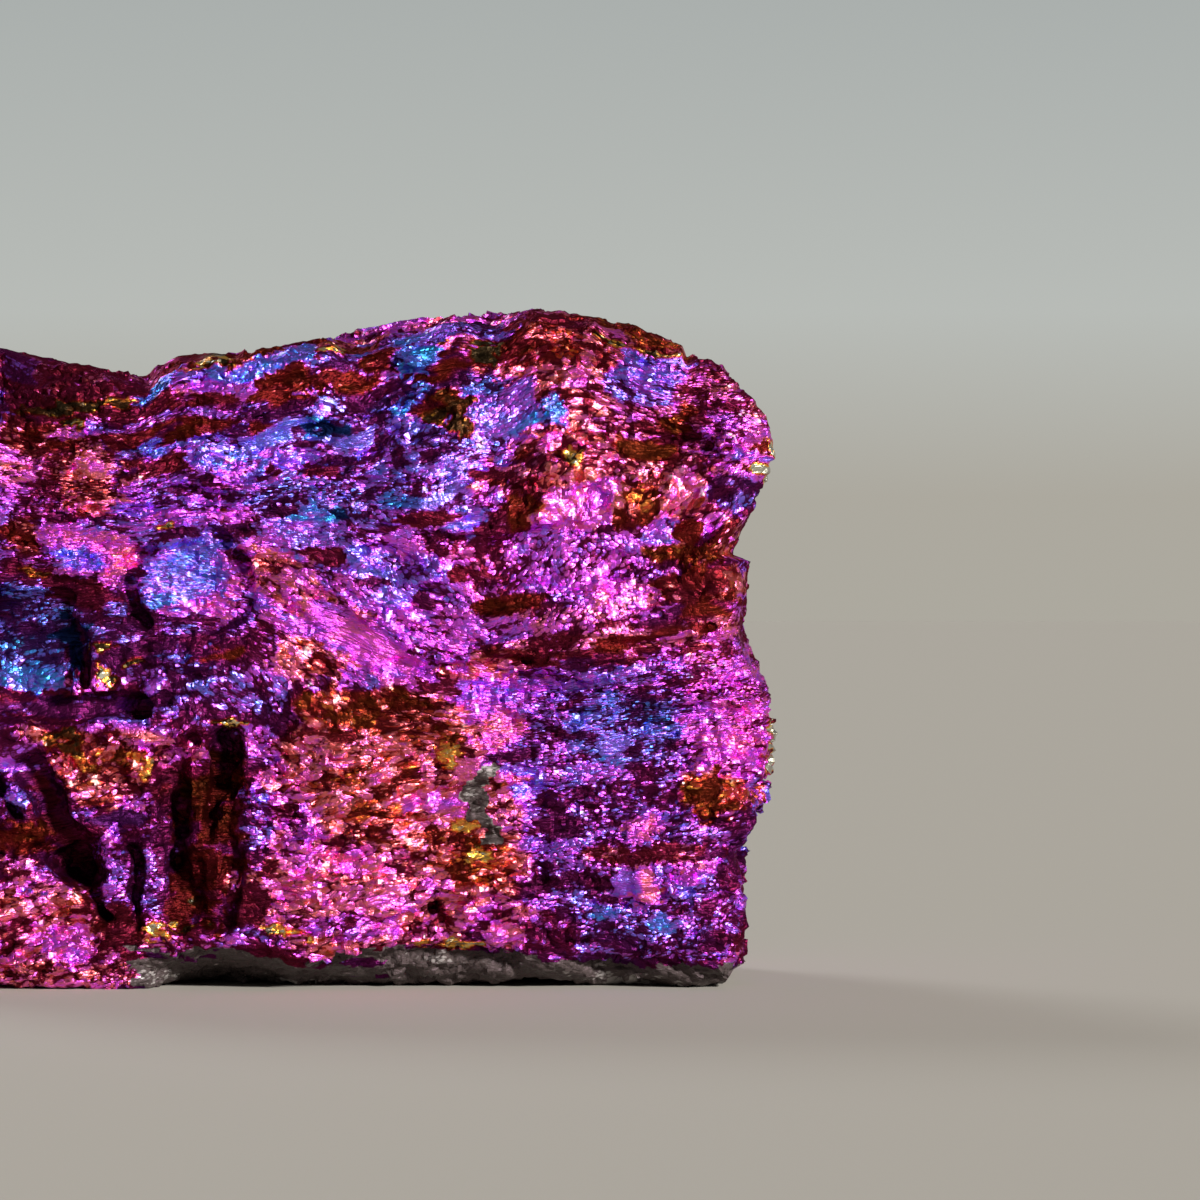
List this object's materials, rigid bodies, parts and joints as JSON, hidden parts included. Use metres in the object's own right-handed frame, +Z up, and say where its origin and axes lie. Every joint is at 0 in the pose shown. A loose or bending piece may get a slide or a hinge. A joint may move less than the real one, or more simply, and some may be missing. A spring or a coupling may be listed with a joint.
{
  "type": "peacock ore specimen",
  "caption": "Rough chunk of iridescent peacock ore with one broad fracture face, stepped edges and a flat base that it rests on.",
  "frame": {"origin": "middle of the bounding box seen from above, on the flat base that the chunk rests on", "axes": "+Z up, +X along the chunk's length, -Y out of the broad fracture face"},
  "size_m": [0.07, 0.037, 0.0455],
  "materials": {
    "tarnished_ore": "satin"
  },
  "bodies": {
    "root": {"ore_chunk": "tarnished_ore"}
  },
  "joints": []
}
